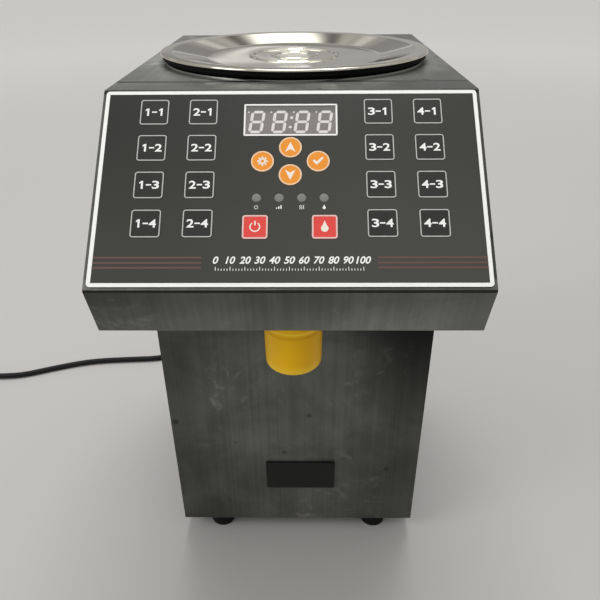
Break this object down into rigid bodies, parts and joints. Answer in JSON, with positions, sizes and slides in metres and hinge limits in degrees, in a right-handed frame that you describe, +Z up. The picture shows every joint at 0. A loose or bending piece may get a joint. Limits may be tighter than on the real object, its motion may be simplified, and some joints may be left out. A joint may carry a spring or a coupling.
{
  "type": "fructose dispenser",
  "caption": "Countertop syrup dispenser: folded steel shell with an overhanging head, sloped key panel, round tank under a lift-off lid, gear pump and capped outlet nozzle.",
  "frame": {"origin": "bottom centre of the dispenser's bounding box, without its cord, on the surface the feet stand on", "axes": "+Z up, the key panel and nozzle face -Y, +X to the right seen from the front"},
  "size_m": [0.712, 0.4554, 0.4337],
  "materials": {
    "shell_steel": "dark plated, hairline brushed upright",
    "black_rubber": "matt",
    "bright_screw": "plain",
    "bright_steel": "polished",
    "black_silicone": "smooth",
    "plain_steel": "plain",
    "float_plastic": "smooth",
    "black_enamel": "satin",
    "clear_silicone": "translucent",
    "yellow_plastic": "moulded, glossy",
    "overlay_film": "fine texture",
    "display_red": "dark window",
    "lamp_clear": "clear lens",
    "board_green": "solder mask",
    "black_plastic": "moulded",
    "supply_aluminium": "pressed",
    "rocker_plastic": "moulded",
    "cord_rubber": "satin",
    "dose_key_film": "embossed film",
    "orange_key_film": "embossed film",
    "red_key_film": "embossed film"
  },
  "bodies": {
    "dispenser": {"side_panel_left": "shell_steel", "side_panel_right": "shell_steel", "front_hood": "shell_steel", "top_cover": "shell_steel", "front_panel": "shell_steel", "nozzle_plate": "shell_steel", "rear_panel": "shell_steel", "base_plate": "shell_steel", "rubber_feet": "black_rubber", "screws": "bright_screw", "tank": "bright_steel", "heater_band": "plain_steel", "level_sensor": "bright_steel", "pump_bracket": "plain_steel", "pump_body": "plain_steel", "pump_cover": "plain_steel", "pump_motor": "black_enamel", "suction_hose": "clear_silicone", "delivery_hose": "clear_silicone", "outlet_nozzle": "bright_steel", "panel_overlay": "overlay_film", "display_module": "display_red", "indicator_lamps": "lamp_clear", "control_board": "board_green", "tact_switches": "black_plastic", "power_supply": "supply_aluminium", "cable_gland": "black_plastic", "switch_housing": "black_plastic", "power_cord": "cord_rubber", "cord_coil": "cord_rubber", "plug": "cord_rubber"},
    "lid_set": {"lid": "bright_steel", "lid_seal": "black_silicone"},
    "spout_cap": {"nozzle_cap": "yellow_plastic"},
    "rocker": {"power_rocker": "rocker_plastic"},
    "drive_wheel": {"drive_gear": "bright_steel"},
    "idler_wheel": {"idler_gear": "bright_steel"},
    "float": {"level_float": "float_plastic"},
    "dose_key_1_1": {"dose_key_1_1": "dose_key_film"},
    "dose_key_1_2": {"dose_key_1_2": "dose_key_film"},
    "dose_key_1_3": {"dose_key_1_3": "dose_key_film"},
    "dose_key_1_4": {"dose_key_1_4": "dose_key_film"},
    "dose_key_2_1": {"dose_key_2_1": "dose_key_film"},
    "dose_key_2_2": {"dose_key_2_2": "dose_key_film"},
    "dose_key_2_3": {"dose_key_2_3": "dose_key_film"},
    "dose_key_2_4": {"dose_key_2_4": "dose_key_film"},
    "dose_key_3_1": {"dose_key_3_1": "dose_key_film"},
    "dose_key_3_2": {"dose_key_3_2": "dose_key_film"},
    "dose_key_3_3": {"dose_key_3_3": "dose_key_film"},
    "dose_key_3_4": {"dose_key_3_4": "dose_key_film"},
    "dose_key_4_1": {"dose_key_4_1": "dose_key_film"},
    "dose_key_4_2": {"dose_key_4_2": "dose_key_film"},
    "dose_key_4_3": {"dose_key_4_3": "dose_key_film"},
    "dose_key_4_4": {"dose_key_4_4": "dose_key_film"},
    "key_up": {"key_up": "orange_key_film"},
    "key_down": {"key_down": "orange_key_film"},
    "key_set": {"key_set": "orange_key_film"},
    "key_save": {"key_save": "orange_key_film"},
    "key_power": {"key_power": "red_key_film"},
    "key_output": {"key_output": "red_key_film"}
  },
  "joints": [
    {"name": "lid_lift", "type": "slide", "parent": "dispenser", "child": "lid_set", "axis": [0, 0, 1], "range_m": [0, 0.12]},
    {"name": "cap_pull", "type": "slide", "parent": "dispenser", "child": "spout_cap", "axis": [0, 0, -1], "range_m": [0, 0.062]},
    {"name": "rocker_tilt", "type": "hinge", "parent": "dispenser", "child": "rocker", "pos_m": [0.062, 0.17425, 0.06], "axis": [1, 0, 0], "range_deg": [0, 16]},
    {"name": "pump_drive_spin", "type": "hinge", "parent": "dispenser", "child": "drive_wheel", "pos_m": [0.015, 0.03075, 0.094], "axis": [0, 1, 0], "continuous": true},
    {"name": "pump_idler_spin", "type": "hinge", "parent": "dispenser", "child": "idler_wheel", "pos_m": [-0.015, 0.03075, 0.094], "axis": [0, 1, 0], "continuous": true},
    {"name": "float_rise", "type": "slide", "parent": "dispenser", "child": "float", "axis": [0, 0, 1], "range_m": [0, 0.037]},
    {"name": "press_dose_key_1_1", "type": "slide", "parent": "dispenser", "child": "dose_key_1_1", "axis": [0, 0.6805, -0.7328], "range_m": [0, 0.0004], "stiffness_N_per_m": 400},
    {"name": "press_dose_key_1_2", "type": "slide", "parent": "dispenser", "child": "dose_key_1_2", "axis": [0, 0.6805, -0.7328], "range_m": [0, 0.0004], "stiffness_N_per_m": 400},
    {"name": "press_dose_key_1_3", "type": "slide", "parent": "dispenser", "child": "dose_key_1_3", "axis": [0, 0.6805, -0.7328], "range_m": [0, 0.0004], "stiffness_N_per_m": 400},
    {"name": "press_dose_key_1_4", "type": "slide", "parent": "dispenser", "child": "dose_key_1_4", "axis": [0, 0.6805, -0.7328], "range_m": [0, 0.0004], "stiffness_N_per_m": 400},
    {"name": "press_dose_key_2_1", "type": "slide", "parent": "dispenser", "child": "dose_key_2_1", "axis": [0, 0.6805, -0.7328], "range_m": [0, 0.0004], "stiffness_N_per_m": 400},
    {"name": "press_dose_key_2_2", "type": "slide", "parent": "dispenser", "child": "dose_key_2_2", "axis": [0, 0.6805, -0.7328], "range_m": [0, 0.0004], "stiffness_N_per_m": 400},
    {"name": "press_dose_key_2_3", "type": "slide", "parent": "dispenser", "child": "dose_key_2_3", "axis": [0, 0.6805, -0.7328], "range_m": [0, 0.0004], "stiffness_N_per_m": 400},
    {"name": "press_dose_key_2_4", "type": "slide", "parent": "dispenser", "child": "dose_key_2_4", "axis": [0, 0.6805, -0.7328], "range_m": [0, 0.0004], "stiffness_N_per_m": 400},
    {"name": "press_dose_key_3_1", "type": "slide", "parent": "dispenser", "child": "dose_key_3_1", "axis": [0, 0.6805, -0.7328], "range_m": [0, 0.0004], "stiffness_N_per_m": 400},
    {"name": "press_dose_key_3_2", "type": "slide", "parent": "dispenser", "child": "dose_key_3_2", "axis": [0, 0.6805, -0.7328], "range_m": [0, 0.0004], "stiffness_N_per_m": 400},
    {"name": "press_dose_key_3_3", "type": "slide", "parent": "dispenser", "child": "dose_key_3_3", "axis": [0, 0.6805, -0.7328], "range_m": [0, 0.0004], "stiffness_N_per_m": 400},
    {"name": "press_dose_key_3_4", "type": "slide", "parent": "dispenser", "child": "dose_key_3_4", "axis": [0, 0.6805, -0.7328], "range_m": [0, 0.0004], "stiffness_N_per_m": 400},
    {"name": "press_dose_key_4_1", "type": "slide", "parent": "dispenser", "child": "dose_key_4_1", "axis": [0, 0.6805, -0.7328], "range_m": [0, 0.0004], "stiffness_N_per_m": 400},
    {"name": "press_dose_key_4_2", "type": "slide", "parent": "dispenser", "child": "dose_key_4_2", "axis": [0, 0.6805, -0.7328], "range_m": [0, 0.0004], "stiffness_N_per_m": 400},
    {"name": "press_dose_key_4_3", "type": "slide", "parent": "dispenser", "child": "dose_key_4_3", "axis": [0, 0.6805, -0.7328], "range_m": [0, 0.0004], "stiffness_N_per_m": 400},
    {"name": "press_dose_key_4_4", "type": "slide", "parent": "dispenser", "child": "dose_key_4_4", "axis": [0, 0.6805, -0.7328], "range_m": [0, 0.0004], "stiffness_N_per_m": 400},
    {"name": "press_key_up", "type": "slide", "parent": "dispenser", "child": "key_up", "axis": [0, 0.6805, -0.7328], "range_m": [0, 0.0004], "stiffness_N_per_m": 400},
    {"name": "press_key_down", "type": "slide", "parent": "dispenser", "child": "key_down", "axis": [0, 0.6805, -0.7328], "range_m": [0, 0.0004], "stiffness_N_per_m": 400},
    {"name": "press_key_set", "type": "slide", "parent": "dispenser", "child": "key_set", "axis": [0, 0.6805, -0.7328], "range_m": [0, 0.0004], "stiffness_N_per_m": 400},
    {"name": "press_key_save", "type": "slide", "parent": "dispenser", "child": "key_save", "axis": [0, 0.6805, -0.7328], "range_m": [0, 0.0004], "stiffness_N_per_m": 400},
    {"name": "press_key_power", "type": "slide", "parent": "dispenser", "child": "key_power", "axis": [0, 0.6805, -0.7328], "range_m": [0, 0.0004], "stiffness_N_per_m": 400},
    {"name": "press_key_output", "type": "slide", "parent": "dispenser", "child": "key_output", "axis": [0, 0.6805, -0.7328], "range_m": [0, 0.0004], "stiffness_N_per_m": 400}
  ],
  "couplings": [
    {"joint": "pump_idler_spin", "follows": "pump_drive_spin", "ratio": -1}
  ]
}
